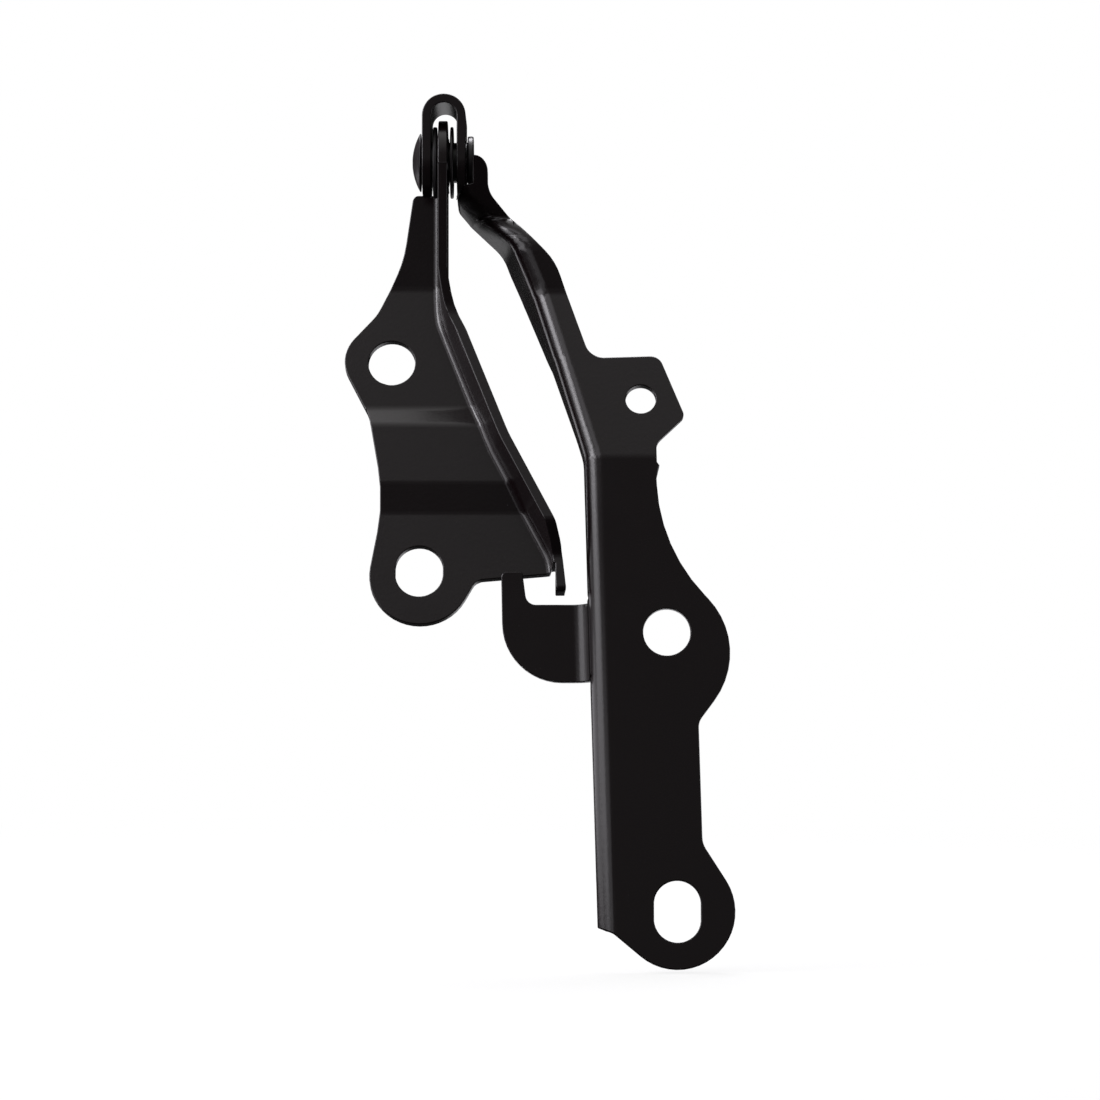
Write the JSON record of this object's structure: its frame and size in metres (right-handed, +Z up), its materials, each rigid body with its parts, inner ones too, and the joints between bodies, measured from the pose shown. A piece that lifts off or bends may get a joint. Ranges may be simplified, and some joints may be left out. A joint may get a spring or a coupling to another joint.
{
  "type": "bonnet hinge",
  "caption": "Car bonnet hinge: a body bracket with a folded clevis and stop hook, and a hood bracket that swings on a riveted pivot.",
  "frame": {"origin": "on the body bracket's front mounting face, midway between its round bolt hole and its slot", "axes": "+X along the pivot axis towards the body bracket's bolt ears, +Y from the mounting face to the flange side, +Z up from the slot towards the pivot"},
  "size_m": [0.0901, 0.0527, 0.2011],
  "materials": {
    "body_bracket_coat": "satin black dip coat",
    "hood_bracket_coat": "satin black dip coat",
    "rivet_finish": "satin black dip coat",
    "bush_plastic": "matt black nylon",
    "washer_finish": "satin black dip coat"
  },
  "bodies": {
    "body_side": {"body_bracket": "body_bracket_coat", "pivot_rivet": "rivet_finish", "thrust_washer": "washer_finish"},
    "hood_side": {"hood_bracket": "hood_bracket_coat", "flanged_bush": "bush_plastic"}
  },
  "joints": [
    {"name": "hood_swing", "type": "hinge", "parent": "body_side", "child": "hood_side", "pos_m": [-0.0524, 0.03267, 0.14072], "axis": [1, 0, 0], "range_deg": [0, 60]}
  ]
}
